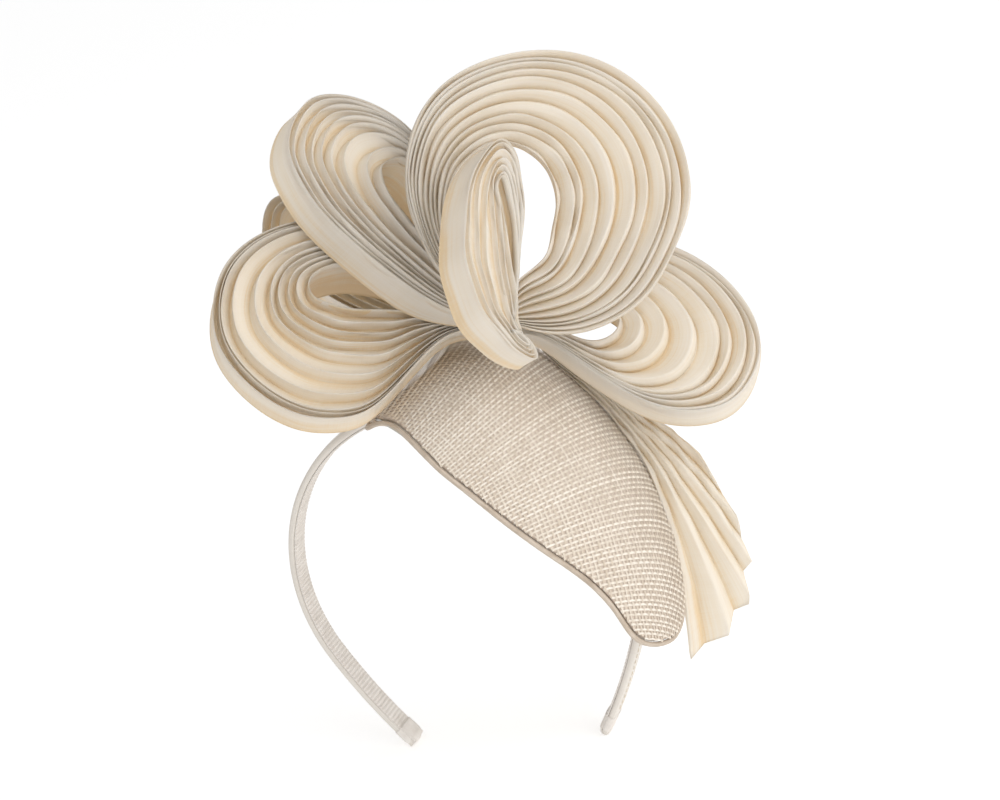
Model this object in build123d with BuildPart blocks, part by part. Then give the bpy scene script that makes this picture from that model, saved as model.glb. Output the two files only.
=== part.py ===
from build123d import *
import os
from math import asin, cos, degrees, radians, sin, sqrt

# Fascinator headpiece. Origin at the centre of the headband's crown arc.
# Z is up, the band stands in the XZ plane and the wearer faces -Y.

# Headband, an alice band of a springy core between a ribbon cover and a ribbed lining
HEAD_RADIUS = 62.0
BAND_WIDTH = 9.0
BAND_THICK = 3.6
CROWN_HALF_ANGLE = 114.0
LEG_RADIUS = 204.0
LEG_ANGLE = 12.2
LINING_THICK = 0.8
COVER_THICK = 0.7
LAYER_GAP = 0.1
CORE_WIDTH = 7.2
CAVITY_WIDTH = 7.6
LEFT_FLEX = -20.0
RIGHT_FLEX = 92.0
FLEX_GAP = 1.1
TIP_FOLD_ANGLE = 1.4
TIP_FOLD_BULGE = 0.3
TIP_FOLD_ROUND = 1.6

# Blocked teardrop base, half an egg turned about its long axis
BASE_LEAN = 52.0
BASE_TIP_FORWARD = 4.0
BASE_HEIGHT = 78.0
BASE_SHIFT_Y = -4.0
CROSS_RADIUS = 62.0
LONG_RADIUS = 125.0
CREST = -18.0
END_START = -34.0
END_RADIUS = 30.0
END_TURN = 84.0
SINAMAY_THICK = 0.9
STIFFENER_THICK = 0.9
BASE_LINING_THICK = 0.7
BASE_TRIM = 3.5
END_DROP = 38.0
EGG_SPREAD = 88.0
END_TRIM = 3.2
RIM_POINTS = 26
RIM_JOIN = 0.994
RIM_WIRE_RADIUS = 0.6
BINDING_BORE = 0.75
BINDING_RADIUS = 1.3
RIM_DEPTH = 1.4
BASE_OUTLINE = [
    (-63.0, -22.0),
    (-52.0, -34.5),
    (-38.0, -42.0),
    (-22.0, -43.5),
    (-5.0, -42.5),
    (12.0, -39.0),
    (28.0, -33.5),
    (43.0, -28.5),
    (55.0, -24.0),
    (62.5, -16.0),
    (65.5, -7.0),
    (62.5, 1.0),
    (52.0, 9.0),
    (36.0, 18.0),
    (18.0, 27.0),
    (0.0, 34.5),
    (-20.0, 39.5),
    (-38.0, 37.5),
    (-52.0, 31.0),
    (-63.0, 20.0),
    (-67.0, -1.0),
]

# Pleated trimming, which fans round one bound root and faces forward and to the wearer's left
TRIM_ROOT = (36.0, 3.3, 81.2)
TRIM_AZIMUTH = 25.0
TRIM_RISE = 19.0
TRIM_ROLL = -15.0
LOOP_THICK = 7.0
ROOT_RADIUS = 3.6
ROOT_BACK = 0.3
ROOT_FRONT = 31.0
TOP_OUT = 27.7
TOP_TILT = (-4.0, 6.0)
TOP_RIM = ((13.6, 50.0), (46.8, 46.0), 0.0)
TOP_HOLE = ((0.5, 43.5), (17.0, 21.5), 0.0)
UPPER_OUT = 18.7
UPPER_TILT = (-5.0, 0.0)
UPPER_RIM = ((-41.5, 45.5), (46.0, 24.5), 137.0)
UPPER_HOLE = ((-37.0, 44.0), (21.0, 7.0), 134.0)
LEFT_OUT = 9.7
LEFT_TILT = (-19.0, 7.0)
LEFT_RIM = ((-60.0, 3.0), (37.5, 35.0), 0.0)
LEFT_HOLE = ((-49.0, 12.0), (15.0, 6.5), 0.0)
RIGHT_OUT = 2.6
RIGHT_TILT = (0.0, 0.0)
RIGHT_RIM = ((48.5, 1.0), (36.0, 30.0), 0.0)
RIGHT_HOLE = ((38.0, 5.0), (14.0, 8.0), 0.0)
REAR_OUT = -22.0
REAR_TILT = (0.0, 0.0)
REAR_RIM = ((-47.0, 28.5), (38.0, 17.0), 154.0)
REAR_HOLE = ((-46.0, 28.0), (22.0, 6.0), 154.0)
CENTRE_OUT = 46.7
CENTRE_TILT = (0.0, 35.0)
CENTRE_RIM = ((-8.0, 27.0), (18.5, 38.5), 12.0)
CENTRE_HOLE = ((-7.0, 28.0), (8.5, 27.0), 12.0)
TAIL_OUT = -20.0
TAIL_THICK = 8.0
TAIL_NEAR_EDGE = [
    (14.7, -0.3),
    (29.0, -16.3),
    (41.5, -30.6),
    (52.5, -47.6),
    (60.0, -65.0),
    (64.5, -84.0),
    (65.2, -107.5),
]
TAIL_CUT_ENDS = [
    (73.9, -104.1),
    (79.4, -100.7),
    (84.5, -83.7),
    (77.0, -59.9),
    (68.5, -42.8),
    (50.0, -20.0),
]
TACKS = [(4.0, 10.4), (62.0, 6.4), (84.0, 6.0)]
TACK_SPREAD = 2.5
TACK_RADIUS = 0.8


def sector(centre, inner, outer, start, size):
    """Flat piece between two arcs."""
    with BuildSketch() as flat:
        with BuildLine():
            near = CenterArc(centre, inner, start, size)
            far = CenterArc(centre, outer, start, size)
            Line(near @ 0, far @ 0)
            Line(near @ 1, far @ 1)
        make_face()
    return flat.sketch


os.makedirs("parts", exist_ok=True)

# Headband layers, split where each leg springs from the crown
inner = HEAD_RADIUS
outer = HEAD_RADIUS + BAND_THICK
lining_outer = inner + LINING_THICK
core_inner = lining_outer + LAYER_GAP
cover_inner = outer - COVER_THICK
core_outer = cover_inner - LAYER_GAP
leg_shift = LEG_RADIUS - HEAD_RADIUS
gap_angle = degrees(FLEX_GAP / HEAD_RADIUS)
crown_start = 90.0 - RIGHT_FLEX + gap_angle / 2
crown_sweep = RIGHT_FLEX - LEFT_FLEX - gap_angle
side_angle = CROWN_HALF_ANGLE
leg_sweep = LEG_ANGLE - TIP_FOLD_ANGLE
left_end = 90.0 + side_angle
right_end = 90.0 - side_angle
left_start = 90.0 - LEFT_FLEX + gap_angle / 2
right_stop = 90.0 - RIGHT_FLEX - gap_angle / 2
left_pivot = (-leg_shift * cos(radians(left_end)), -leg_shift * sin(radians(left_end)))
right_pivot = (-leg_shift * cos(radians(right_end)), -leg_shift * sin(radians(right_end)))


def crown_strip(low, high):
    """Strip of the crown between two radii."""
    return sector((0, 0), low, high, crown_start, crown_sweep)


def left_strip(low, high):
    """Strip of the left leg between two radii, from its root to the tip fold."""
    upper = sector((0, 0), low, high, left_start, left_end - left_start)
    lower = sector(left_pivot, low + leg_shift, high + leg_shift, left_end, leg_sweep)
    return upper + lower


def right_strip(low, high):
    """Strip of the right leg between two radii, from its root to the tip fold."""
    upper = sector((0, 0), low, high, right_end, right_stop - right_end)
    lower = sector(right_pivot, low + leg_shift, high + leg_shift, right_end - leg_sweep, leg_sweep)
    return upper + lower


with BuildPart() as crown_core:
    with BuildSketch(Plane.XZ):
        add(crown_strip(core_inner, core_outer))
    extrude(amount=CORE_WIDTH / 2, both=True)
crown_core.part.label = "crown_core"
export_step(crown_core.part, "parts/crown_core.step")

with BuildPart() as left_leg_core:
    with BuildSketch(Plane.XZ):
        add(left_strip(core_inner, core_outer))
    extrude(amount=CORE_WIDTH / 2, both=True)
left_leg_core.part.label = "left_leg_core"
export_step(left_leg_core.part, "parts/left_leg_core.step")

with BuildPart() as right_leg_core:
    with BuildSketch(Plane.XZ):
        add(right_strip(core_inner, core_outer))
    extrude(amount=CORE_WIDTH / 2, both=True)
right_leg_core.part.label = "right_leg_core"
export_step(right_leg_core.part, "parts/right_leg_core.step")

with BuildPart() as crown_cover:
    with BuildSketch(Plane.XZ):
        add(crown_strip(inner, outer))
    extrude(amount=BAND_WIDTH / 2, both=True)
    with BuildSketch(Plane.XZ):
        add(crown_strip(inner, cover_inner))
    extrude(amount=CAVITY_WIDTH / 2, both=True, mode=Mode.SUBTRACT)
crown_cover.part.label = "crown_cover"
export_step(crown_cover.part, "parts/crown_cover.step")

with BuildPart() as left_leg_cover:
    with BuildSketch(Plane.XZ):
        add(left_strip(inner, outer))
    extrude(amount=BAND_WIDTH / 2, both=True)
    with BuildSketch(Plane.XZ):
        add(left_strip(inner, cover_inner))
    extrude(amount=CAVITY_WIDTH / 2, both=True, mode=Mode.SUBTRACT)
left_leg_cover.part.label = "left_leg_cover"
export_step(left_leg_cover.part, "parts/left_leg_cover.step")

with BuildPart() as right_leg_cover:
    with BuildSketch(Plane.XZ):
        add(right_strip(inner, outer))
    extrude(amount=BAND_WIDTH / 2, both=True)
    with BuildSketch(Plane.XZ):
        add(right_strip(inner, cover_inner))
    extrude(amount=CAVITY_WIDTH / 2, both=True, mode=Mode.SUBTRACT)
right_leg_cover.part.label = "right_leg_cover"
export_step(right_leg_cover.part, "parts/right_leg_cover.step")

with BuildPart() as crown_lining:
    with BuildSketch(Plane.XZ):
        add(crown_strip(inner, lining_outer))
    extrude(amount=CORE_WIDTH / 2, both=True)
crown_lining.part.label = "crown_lining"
export_step(crown_lining.part, "parts/crown_lining.step")

with BuildPart() as left_leg_lining:
    with BuildSketch(Plane.XZ):
        add(left_strip(inner, lining_outer))
    extrude(amount=CORE_WIDTH / 2, both=True)
left_leg_lining.part.label = "left_leg_lining"
export_step(left_leg_lining.part, "parts/left_leg_lining.step")

with BuildPart() as right_leg_lining:
    with BuildSketch(Plane.XZ):
        add(right_strip(inner, lining_outer))
    extrude(amount=CORE_WIDTH / 2, both=True)
right_leg_lining.part.label = "right_leg_lining"
export_step(right_leg_lining.part, "parts/right_leg_lining.step")

# Folded ribbon caps closing the two tips
fold_inner = LEG_RADIUS - TIP_FOLD_BULGE
fold_outer = LEG_RADIUS + BAND_THICK + TIP_FOLD_BULGE
fold_width = BAND_WIDTH + 2 * TIP_FOLD_BULGE
fold_gap = degrees(LAYER_GAP / LEG_RADIUS)
left_fold_start = left_end + leg_sweep + fold_gap

with BuildPart() as left_tip_fold:
    with BuildSketch(Plane.XZ):
        add(sector(left_pivot, fold_inner, fold_outer, left_fold_start, TIP_FOLD_ANGLE - fold_gap))
    extrude(amount=fold_width / 2, both=True)
    fillet(left_tip_fold.faces().sort_by(Axis.Z)[0].edges(), TIP_FOLD_ROUND)
left_tip_fold.part.label = "left_tip_fold"
export_step(left_tip_fold.part, "parts/left_tip_fold.step")

with BuildPart() as right_tip_fold:
    mirror(left_tip_fold.part, about=Plane.YZ)
right_tip_fold.part.label = "right_tip_fold"
export_step(right_tip_fold.part, "parts/right_tip_fold.step")

# Base, three blocked shells of one egg cut to the teardrop outline
lean = radians(BASE_LEAN)
base_crest = (BASE_HEIGHT * sin(lean), BASE_SHIFT_Y, BASE_HEIGHT * cos(lean))
base_along = (cos(lean), 0, -sin(lean))
forward = radians(BASE_TIP_FORWARD)
base_out = (sin(lean) * cos(forward), -sin(forward), cos(lean) * cos(forward))
BASE = Plane(origin=base_crest, x_dir=base_along, z_dir=base_out)
spread = radians(EGG_SPREAD)
base_foot = BASE.origin - BASE.z_dir * CROSS_RADIUS
flank = BASE.z_dir * cos(spread) + BASE.y_dir * sin(spread)
FLANK = Plane(origin=base_foot + flank * CROSS_RADIUS, x_dir=BASE.x_dir, z_dir=BASE.x_dir.cross(flank))
end_start_turn = degrees(asin((CREST - END_START) / LONG_RADIUS))
tip_turn = degrees(asin((BASE_OUTLINE[10][0] + BINDING_RADIUS - CREST) / LONG_RADIUS))
end_centre = (
    END_START + END_RADIUS * sin(radians(end_start_turn)),
    (LONG_RADIUS - END_RADIUS) * cos(radians(end_start_turn)) - LONG_RADIUS,
)
base_axis = Axis(base_foot, BASE.x_dir)


def egg_section(depth):
    """Half section of the egg down to its long axis, some depth below its outer face."""
    with BuildSketch() as half:
        with BuildLine():
            ridge = CenterArc((CREST, -LONG_RADIUS), LONG_RADIUS - depth, 90 - tip_turn,
                              tip_turn + end_start_turn)
            end = CenterArc(end_centre, END_RADIUS - depth, 90 + end_start_turn,
                            END_TURN - end_start_turn)
            Polyline(end @ 1, ((end @ 1).X, -CROSS_RADIUS), ((ridge @ 0).X, -CROSS_RADIUS), ridge @ 0)
        make_face()
    return half.sketch


def rim_point(along, across):
    """Point of the rim in the base's own axes, midway through the shells."""
    end_ridge = sqrt(across**2 + (CROSS_RADIUS - END_DROP) ** 2) - CROSS_RADIUS
    end_reach = sqrt((END_RADIUS - RIM_DEPTH) ** 2 - (end_ridge - end_centre[1]) ** 2)
    if along < end_centre[0] - end_reach:
        return (end_centre[0] - end_reach, across, -END_DROP)
    if along < END_START:
        ridge = end_centre[1] + sqrt((END_RADIUS - RIM_DEPTH) ** 2 - (along - end_centre[0]) ** 2)
    else:
        ridge = sqrt((LONG_RADIUS - RIM_DEPTH) ** 2 - (along - CREST) ** 2) - LONG_RADIUS
    return (along, across, sqrt((CROSS_RADIUS + ridge) ** 2 - across**2) - CROSS_RADIUS)


with BuildLine() as outline:
    Spline(BASE_OUTLINE, periodic=True)
outline_points = [outline.line @ (RIM_JOIN * step / RIM_POINTS) for step in range(RIM_POINTS + 1)]
rim_points = [BASE.from_local_coords(rim_point(point.X, point.Y)) for point in outline_points]

inset_points = []
for step in range(RIM_POINTS):
    place = step / RIM_POINTS
    inward = (outline.line % place).rotate(Axis.Z, 90)
    inset_points.append(outline.line @ place + inward * BASE_TRIM)

with BuildSketch(BASE.offset(END_TRIM - END_DROP)) as shell_outline:
    with BuildLine():
        Spline(inset_points, periodic=True)
    make_face()


def cut_shell(top, bottom):
    """Shell of the egg between two depths, cut to the outline."""
    with BuildPart() as shell:
        with BuildSketch(FLANK):
            add(egg_section(top))
            add(egg_section(bottom), mode=Mode.SUBTRACT)
        revolve(axis=base_axis, revolution_arc=2 * EGG_SPREAD)
        extrude(shell_outline.sketch, amount=END_DROP + CROSS_RADIUS, mode=Mode.INTERSECT)
    return shell.part


stiffener_top = SINAMAY_THICK + LAYER_GAP
stiffener_bottom = stiffener_top + STIFFENER_THICK
base_lining_top = stiffener_bottom + LAYER_GAP
base_lining_bottom = base_lining_top + BASE_LINING_THICK

with BuildPart() as base_sinamay:
    add(cut_shell(0, SINAMAY_THICK))
base_sinamay.part.label = "base_sinamay"
export_step(base_sinamay.part, "parts/base_sinamay.step")

with BuildPart() as base_stiffener:
    add(cut_shell(stiffener_top, stiffener_bottom))
base_stiffener.part.label = "base_stiffener"
export_step(base_stiffener.part, "parts/base_stiffener.step")

with BuildPart() as base_lining:
    add(cut_shell(base_lining_top, base_lining_bottom))
base_lining.part.label = "base_lining"
export_step(base_lining.part, "parts/base_lining.step")

with BuildLine() as rim:
    Spline(rim_points)
rim_start = Plane(origin=rim.line @ 0, z_dir=rim.line % 0)

with BuildPart() as rim_wire:
    with BuildSketch(rim_start):
        Circle(RIM_WIRE_RADIUS)
    sweep(path=rim.line)
rim_wire.part.label = "rim_wire"
export_step(rim_wire.part, "parts/rim_wire.step")

with BuildPart() as rim_binding:
    with BuildSketch(rim_start):
        Circle(BINDING_RADIUS)
        Circle(BINDING_BORE, mode=Mode.SUBTRACT)
    sweep(path=rim.line)
rim_binding.part.label = "rim_binding"
export_step(rim_binding.part, "parts/rim_binding.step")

# Thread shanks that hold the base on the band, a pair at each place
with BuildPart() as band_tacks:
    for angle, reach in TACKS:
        turn = radians(angle)
        for side in (-TACK_SPREAD, TACK_SPREAD):
            foot = ((outer + LAYER_GAP) * sin(turn), side, (outer + LAYER_GAP) * cos(turn))
            with BuildSketch(Plane(origin=foot, z_dir=(sin(turn), 0, cos(turn)))):
                Circle(TACK_RADIUS)
            extrude(amount=reach)
band_tacks.part.label = "band_tacks"
export_step(band_tacks.part, "parts/band_tacks.step")

# Bound root that gathers the loops, and the thread wound round it
azimuth = radians(TRIM_AZIMUTH)
trim_rise = radians(TRIM_RISE)
trim_out = (sin(azimuth) * cos(trim_rise), -cos(azimuth) * cos(trim_rise), sin(trim_rise))
level = Plane(origin=TRIM_ROOT, x_dir=(cos(azimuth), sin(azimuth), 0), z_dir=trim_out)
trim_roll = radians(TRIM_ROLL)
trim_across = level.x_dir * cos(trim_roll) + level.y_dir * sin(trim_roll)
TRIM = Plane(origin=TRIM_ROOT, x_dir=trim_across, z_dir=trim_out)


def loop_plane(out, pitch, yaw):
    """Plane of one loop, moved out from the root, then pitched and yawed in degrees."""
    tip = radians(pitch)
    turn = radians(yaw)
    level_y = TRIM.y_dir * cos(tip) + TRIM.z_dir * sin(tip)
    level_z = TRIM.z_dir * cos(tip) - TRIM.y_dir * sin(tip)
    side = TRIM.x_dir * cos(turn) - level_z * sin(turn)
    return Plane(origin=TRIM.origin + TRIM.z_dir * out, x_dir=side, z_dir=side.cross(level_y))


with BuildPart() as loop_root:
    with BuildSketch(TRIM.offset(ROOT_BACK)):
        Circle(ROOT_RADIUS)
    extrude(amount=ROOT_FRONT - ROOT_BACK)
loop_root.part.label = "loop_root"
export_step(loop_root.part, "parts/loop_root.step")


def ring(plane, rim_ellipse, hole_ellipse, thick):
    """Flat ring between two ellipses, each given as centre, half lengths and turn."""
    with BuildPart() as solid:
        with BuildSketch(plane):
            with Locations(rim_ellipse[0]):
                Ellipse(*rim_ellipse[1], rotation=rim_ellipse[2])
            with Locations(hole_ellipse[0]):
                Ellipse(*hole_ellipse[1], rotation=hole_ellipse[2], mode=Mode.SUBTRACT)
        extrude(amount=thick / 2, both=True)
    return solid.part


with BuildPart() as top_loop:
    add(ring(loop_plane(TOP_OUT, *TOP_TILT), TOP_RIM, TOP_HOLE, LOOP_THICK))
top_loop.part.label = "top_loop"
export_step(top_loop.part, "parts/top_loop.step")

with BuildPart() as upper_left_loop:
    add(ring(loop_plane(UPPER_OUT, *UPPER_TILT), UPPER_RIM, UPPER_HOLE, LOOP_THICK))
upper_left_loop.part.label = "upper_left_loop"
export_step(upper_left_loop.part, "parts/upper_left_loop.step")

with BuildPart() as left_loop:
    add(ring(loop_plane(LEFT_OUT, *LEFT_TILT), LEFT_RIM, LEFT_HOLE, LOOP_THICK))
left_loop.part.label = "left_loop"
export_step(left_loop.part, "parts/left_loop.step")

with BuildPart() as right_loop:
    add(ring(loop_plane(RIGHT_OUT, *RIGHT_TILT), RIGHT_RIM, RIGHT_HOLE, LOOP_THICK))
right_loop.part.label = "right_loop"
export_step(right_loop.part, "parts/right_loop.step")

with BuildPart() as rear_loop:
    add(ring(loop_plane(REAR_OUT, *REAR_TILT), REAR_RIM, REAR_HOLE, LOOP_THICK))
rear_loop.part.label = "rear_loop"
export_step(rear_loop.part, "parts/rear_loop.step")

with BuildPart() as centre_loop:
    add(ring(loop_plane(CENTRE_OUT, *CENTRE_TILT), CENTRE_RIM, CENTRE_HOLE, LOOP_THICK))
centre_loop.part.label = "centre_loop"
export_step(centre_loop.part, "parts/centre_loop.step")

# Pleated tail fanned down the back edge of the base
with BuildPart() as tail_fan:
    with BuildSketch(TRIM.offset(TAIL_OUT)):
        with BuildLine():
            near_edge = Spline(TAIL_NEAR_EDGE)
            Polyline(near_edge @ 1, *TAIL_CUT_ENDS, near_edge @ 0)
        make_face()
    extrude(amount=TAIL_THICK / 2, both=True)
tail_fan.part.label = "tail_fan"
export_step(tail_fan.part, "parts/tail_fan.step")
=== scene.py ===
"""Looks of a cream fascinator: pleated silk loops on a woven teardrop base, on a ribbon-covered headband.

Lengths in the tables are millimetres, and every mesh is written in metres in the row frame.
"""

import math

import bpy
import numpy as np
from mathutils import Matrix, Vector


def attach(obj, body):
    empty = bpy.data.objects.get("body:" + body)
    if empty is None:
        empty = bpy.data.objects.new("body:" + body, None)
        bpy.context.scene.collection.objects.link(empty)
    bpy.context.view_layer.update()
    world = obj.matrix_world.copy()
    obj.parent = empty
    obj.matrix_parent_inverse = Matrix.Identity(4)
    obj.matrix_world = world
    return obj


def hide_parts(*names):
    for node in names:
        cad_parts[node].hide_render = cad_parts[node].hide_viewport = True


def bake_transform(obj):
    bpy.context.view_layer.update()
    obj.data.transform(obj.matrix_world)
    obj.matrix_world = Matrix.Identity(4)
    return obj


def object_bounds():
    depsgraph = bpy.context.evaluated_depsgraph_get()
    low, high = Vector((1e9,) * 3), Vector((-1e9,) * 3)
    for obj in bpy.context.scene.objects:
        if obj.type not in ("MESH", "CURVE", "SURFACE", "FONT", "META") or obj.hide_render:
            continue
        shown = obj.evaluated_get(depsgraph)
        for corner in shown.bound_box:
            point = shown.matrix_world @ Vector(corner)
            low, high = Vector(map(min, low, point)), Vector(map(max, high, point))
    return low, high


MM = 0.001

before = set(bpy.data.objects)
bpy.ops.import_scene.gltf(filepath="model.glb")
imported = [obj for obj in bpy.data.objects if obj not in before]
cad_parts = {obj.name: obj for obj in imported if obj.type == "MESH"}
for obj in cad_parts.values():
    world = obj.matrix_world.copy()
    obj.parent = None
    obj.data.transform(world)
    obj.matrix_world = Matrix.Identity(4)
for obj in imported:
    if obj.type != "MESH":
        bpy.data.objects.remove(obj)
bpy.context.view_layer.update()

# Headband, in its own plane: x to the right, z up, y forward
HEAD_RADIUS = 62.0
CROWN_HALF_ANGLE = 114.0
LEG_CENTRE_REACH = 142.0
LEG_RADIUS = 204.0
LEG_ANGLE = 12.2
LEFT_FLEX = -20.0
RIGHT_FLEX = 92.0
FLEX_SPREAD = 8.0
BAND_SEAM = 36.0
COVER_STATION = 1.2
RIB_PITCH = 1.5
RIB_STATIONS = 6
RIB_HEIGHT = 0.42
COVER_SECTION = [
    (-3.9, 0.95), (-4.35, 1.2), (-4.5, 1.7), (-4.45, 2.4), (-4.2, 3.0), (-3.6, 3.35), (-2.2, 3.53),
    (0.0, 3.6), (2.2, 3.53), (3.6, 3.35), (4.2, 3.0), (4.45, 2.4), (4.5, 1.7), (4.35, 1.2), (3.9, 0.95),
]
LINING_HALF = 4.1
LINING_TOP = 0.85
LINING_EDGE = 0.35
STITCH_LENGTH = 1.5
STITCH_GAP = 0.9
STITCH_RADIUS = 0.13
STITCH_START = 12.0
STITCH_END = 56.0
STITCH_SIDE = -3.0
STITCH_FOOT = 3.52
STITCH_ARCH = 0.16
COVER_SHORT = 0.6
LINING_SHORT = 0.8
TIP_SHORT = 0.05
TIP_LENGTH = 8.0
TIP_SWELL = 0.35

# Base: an egg of revolution about a lying axis, cut to an outline
BASE_LEAN = 52.0
BASE_TIP_FORWARD = 4.0
BASE_HEIGHT = 78.0
BASE_SHIFT_Y = -4.0
CROSS_RADIUS = 62.0
LONG_RADIUS = 125.0
CREST = -18.0
END_START = -34.0
END_RADIUS = 30.0
END_DROP = 38.0
END_RUN = 4.0
BASE_OUTLINE = [
    (-63.0, -22.0), (-52.0, -34.5), (-38.0, -42.0), (-22.0, -43.5), (-5.0, -42.5), (12.0, -39.0),
    (28.0, -33.5), (43.0, -28.5), (55.0, -24.0), (62.5, -16.0), (65.5, -7.0), (62.5, 1.0),
    (52.0, 9.0), (36.0, 18.0), (18.0, 27.0), (0.0, 34.5), (-20.0, 39.5), (-38.0, 37.5),
    (-52.0, 31.0), (-63.0, 20.0), (-67.0, -1.0),
]
WEAVE_PITCH = 1.6
WEAVE_BEND = 0.0068
WEAVE_STRAIGHT = -30.0
STRAND_HALF = 0.36
STRAND_THICK = 0.12
WEAVE_RISE = 0.14
LENGTH_TONE = -0.03
CROSS_TONE = 0.07
STRAND_TONES = (-0.03, 0.0, 0.03, 0.09)
STRAND_ODDS = (0.25, 0.4, 0.25, 0.1)
LENGTH_CONTRAST = 0.4
WEAVE_REACH = 150.0
WEAVE_DEPTH = 0.25
RIM_DEPTH = 1.4
RIM_RADIUS = 0.9

# Pleated trimming: one plane per loop, turned about the bound root
TRIM_ROOT = (36.0, 3.3, 81.2)
TRIM_AZIMUTH = 25.0
TRIM_RISE = 19.0
TRIM_ROLL = -15.0
ROOT_BACK = 0.3
ROOT_FRONT = 31.0
ROOT_RADIUS = 3.4
WRAPS = (8.0, 21.0)
WRAP_TURNS = 7
NECK_DEPTH = 0.22
NECK_HALF = 3.0

# Tacks between the band and the base: angle on the band, reach
TACKS = [(4.0, 10.4), (62.0, 6.4), (84.0, 6.0)]
TACK_SPREAD = 2.5
TACK_FOOT = 3.7
TACK_TWIST = 2.2
TACK_COIL = 0.42
TACK_STRAND = 0.36

SILK_THICK = 0.22
# Painted light and shade in the silk's colour: painted shade on each inner free panel, painted light at the
# front folds and painted shade down in each fold
INNER_SHADE = 0.10
FOLD_LIGHT = 0.07
FOLD_SHADE = 0.22


def unit(vector):
    """Vector at length one."""
    vector = np.asarray(vector, float)
    return vector / np.linalg.norm(vector)


def smooth(x):
    """Smoothstep of x held between 0 and 1."""
    x = np.clip(x, 0.0, 1.0)
    return x * x * (3 - 2 * x)


def spline_weights(knots, at, closed=False):
    """Matrix that turns values at the knots into a smooth cubic's values at the places asked for."""
    knots = np.asarray(knots, float)
    count = len(knots)
    if closed:
        period = knots[-1]
        count -= 1
        spans = np.diff(knots)
        rows = np.zeros((count, count))
        right = np.zeros((count, count))
        for i in range(count):
            before, after = spans[i - 1], spans[i]
            rows[i, i - 1] += before
            rows[i, i] += 2 * (before + after)
            rows[i, (i + 1) % count] += after
            right[i, (i + 1) % count] += 6 / after
            right[i, i] -= 6 / after + 6 / before
            right[i, i - 1] += 6 / before
        bends = np.linalg.solve(rows, right)
        at = np.mod(at, period)
    else:
        spans = np.diff(knots)
        rows = np.eye(count)
        right = np.zeros((count, count))
        for i in range(1, count - 1):
            before, after = spans[i - 1], spans[i]
            rows[i, i - 1:i + 2] = before, 2 * (before + after), after
            right[i, i - 1:i + 2] = 6 / before, -6 / before - 6 / after, 6 / after
        bends = np.linalg.solve(rows, right)
    cell = np.clip(np.searchsorted(knots, at, side="right") - 1, 0, len(spans) - 1)
    step = spans[cell][:, None]
    b = ((at - knots[cell]) / spans[cell])[:, None]
    a = 1 - b
    here = np.eye(count)[cell % count]
    there = np.eye(count)[(cell + 1) % count]
    return (a * here + b * there
            + ((a**3 - a) * bends[cell % count] + (b**3 - b) * bends[(cell + 1) % count]) * step**2 / 6)


def chord_knots(points, closed=False):
    """Running length along straight runs between points, from 0."""
    points = np.asarray(points, float)
    if closed:
        points = np.vstack([points, points[:1]])
    return np.concatenate([[0.0], np.cumsum(np.linalg.norm(np.diff(points, axis=0), axis=1))])


def grid_faces(rows, cols, wrap_cols=False, first=0):
    """Quads of a grid of points laid out row by row."""
    i, j = np.meshgrid(np.arange(rows - 1), np.arange(cols if wrap_cols else cols - 1), indexing="ij")
    k = (j + 1) % cols
    quads = np.stack([i * cols + j, i * cols + k, (i + 1) * cols + k, (i + 1) * cols + j], -1)
    return first + quads.reshape(-1, 4)


def add_mesh(name, points, faces, material, uvs=None, shade=None, flat=False):
    """Mesh object from points in millimetres, with a material, thread directions and a shade per point."""
    data = bpy.data.meshes.new(name)
    data.from_pydata((np.asarray(points) * MM).tolist(), [], [tuple(int(v) for v in f) for f in faces])
    data.update()
    if not flat:
        data.polygons.foreach_set("use_smooth", [True] * len(data.polygons))
    corner = np.empty(len(data.loops), dtype=np.int64)
    data.loops.foreach_get("vertex_index", corner)
    if uvs is not None:
        layer = data.uv_layers.new(name="threads")
        layer.data.foreach_set("uv", (np.asarray(uvs)[corner] * MM).ravel())
    if shade is not None:
        attribute = data.attributes.new("shade", "FLOAT", "POINT")
        attribute.data.foreach_set("value", np.asarray(shade, np.float32))
    data.materials.append(material)
    piece = bpy.data.objects.new(name, data)
    bpy.context.scene.collection.objects.link(piece)
    return piece


def grid_normals(grid):
    """Unit normals of a grid of points, from its two directions."""
    along = np.gradient(grid, axis=0)
    across = np.gradient(grid, axis=1)
    normal = np.cross(along, across)
    return normal / np.maximum(np.linalg.norm(normal, axis=2, keepdims=True), 1e-9)


def thick_sheet(grid, uv, thick):
    """Closed cloth of some thickness about a grid of points: points, faces and thread directions."""
    rows, cols = grid.shape[:2]
    normal = grid_normals(grid)
    half = normal * thick / 2
    points = np.concatenate([(grid + half).reshape(-1, 3), (grid - half).reshape(-1, 3)])
    front = grid_faces(rows, cols)
    count = rows * cols
    back = front[:, ::-1] + count
    index = np.arange(count).reshape(rows, cols)
    edge = np.concatenate([index[0, :], index[1:, -1], index[-1, -2::-1], index[-2:0:-1, 0]])
    after = np.roll(edge, -1)
    wall = np.stack([edge, edge + count, after + count, after], -1)[:, ::-1]
    return points, np.concatenate([front, back, wall]), np.concatenate([uv.reshape(-1, 2)] * 2)


# ---------------------------------------------------------------- materials
def new_material(name):
    """Empty node material with its Principled shader, nodes and links."""
    material = bpy.data.materials.new(name)
    material.use_nodes = True
    nodes = material.node_tree.nodes
    return material, nodes, material.node_tree.links, nodes["Principled BSDF"]


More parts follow.
